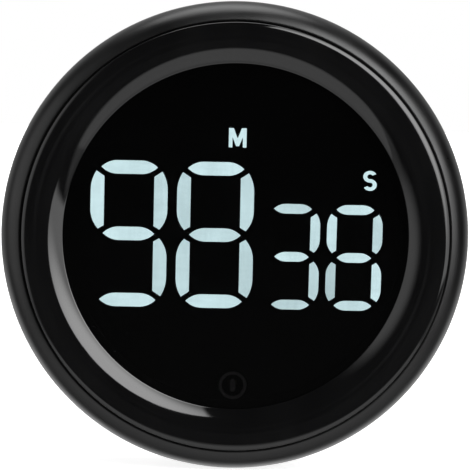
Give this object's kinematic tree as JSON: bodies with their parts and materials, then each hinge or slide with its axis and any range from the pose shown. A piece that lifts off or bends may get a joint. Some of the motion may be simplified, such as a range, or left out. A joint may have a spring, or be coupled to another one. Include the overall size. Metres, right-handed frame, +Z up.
{
  "type": "kitchen timer",
  "caption": "Round magnetic kitchen timer: a turning dial ring sets lit minute and second digits behind a smoked lens, with a battery door, buzzer and volume switch in the back.",
  "frame": {"origin": "centre of the flat back face that the magnets hold against a steel surface", "axes": "+Z up, the display faces -Y, +Y is the back face's outward normal and the dial's axis"},
  "size_m": [0.078, 0.028, 0.078],
  "materials": {
    "smoked_lens": "polished smoked acrylic",
    "dial_plastic": "fine satin texture",
    "gear_plastic": "smooth acetal, black",
    "pinion_plastic": "smooth acetal, natural",
    "housing_plastic": "fine spark-eroded texture",
    "frame_plastic": "plain moulded",
    "display_plastic": "dull black face",
    "segment_lit": "milky resin, lit",
    "segment_unlit": "milky resin behind smoke, unlit",
    "icon_print": "printed ink",
    "foam": "closed-cell foam",
    "led_resin": "yellow phosphor resin",
    "board": "green solder mask",
    "chip_resin": "moulded epoxy",
    "tinned_metal": "tin plated",
    "small_parts": "glazed and tinned",
    "socket_plastic": "natural nylon",
    "spring_steel": "nickel plated",
    "screw_steel": "zinc plated",
    "magnet_plating": "nickel plated",
    "cell_sleeve": "printed film over the can",
    "buzzer_brass": "rolled",
    "buzzer_ceramic": "silvered ceramic",
    "switch_steel": "plated",
    "switch_plastic": "light grey nylon",
    "wire_red": "insulation",
    "wire_black": "insulation",
    "wire_white": "insulation"
  },
  "bodies": {
    "housing": {"front_lens": "smoked_lens", "touch_icon": "icon_print", "lens_gasket": "foam", "display_block": "display_plastic", "lit_segments": "segment_lit", "unlit_segments": "segment_unlit", "unit_marks": "segment_lit", "segment_leds": "led_resin", "main_board": "board", "board_screws": "screw_steel", "controller_chip": "chip_resin", "chip_leads": "tinned_metal", "board_parts": "small_parts", "wire_socket": "socket_plastic", "touch_spring": "spring_steel", "mid_frame": "frame_plastic", "encoder_body": "switch_plastic", "rear_cover": "housing_plastic", "housing_screws": "screw_steel", "battery_cell_upper": "cell_sleeve", "battery_cell_middle": "cell_sleeve", "battery_cell_lower": "cell_sleeve", "positive_plate": "spring_steel", "negative_plate": "spring_steel", "link_plate_right": "spring_steel", "link_plate_left": "spring_steel", "contact_springs": "spring_steel", "magnet_left": "magnet_plating", "magnet_right": "magnet_plating", "piezo_disc": "buzzer_brass", "piezo_ceramic": "buzzer_ceramic", "switch_can": "switch_steel", "switch_board": "board", "switch_screws": "screw_steel", "battery_lead_positive": "wire_red", "battery_lead_negative": "wire_black", "buzzer_leads": "wire_white", "switch_leads": "wire_white"},
    "dial": {"dial_ring": "dial_plastic", "gear_ring": "gear_plastic"},
    "encoder_rotor": {"encoder_pinion": "pinion_plastic", "encoder_shaft": "socket_plastic"},
    "door": {"battery_door": "housing_plastic", "door_latch": "housing_plastic"},
    "slider": {"volume_slider": "housing_plastic", "switch_lever": "switch_plastic"}
  },
  "joints": [
    {"name": "dial_spin", "type": "hinge", "parent": "housing", "child": "dial", "pos_m": [0, -0.018, 0], "axis": [0, 1, 0], "continuous": true},
    {"name": "encoder_spin", "type": "hinge", "parent": "housing", "child": "encoder_rotor", "pos_m": [0, -0.0125, 0.0272], "axis": [0, 1, 0], "continuous": true},
    {"name": "battery_door_hinge", "type": "hinge", "parent": "housing", "child": "door", "pos_m": [0.0262, 0, 0], "axis": [0, 0, -1], "range_deg": [0, 45], "deforming": ["door_latch"]},
    {"name": "volume_slide", "type": "slide", "parent": "housing", "child": "slider", "axis": [1, 0, 0], "range_m": [-0.002, 0.002]}
  ],
  "couplings": [
    {"joint": "encoder_spin", "follows": "dial_spin", "ratio": 5.25}
  ]
}
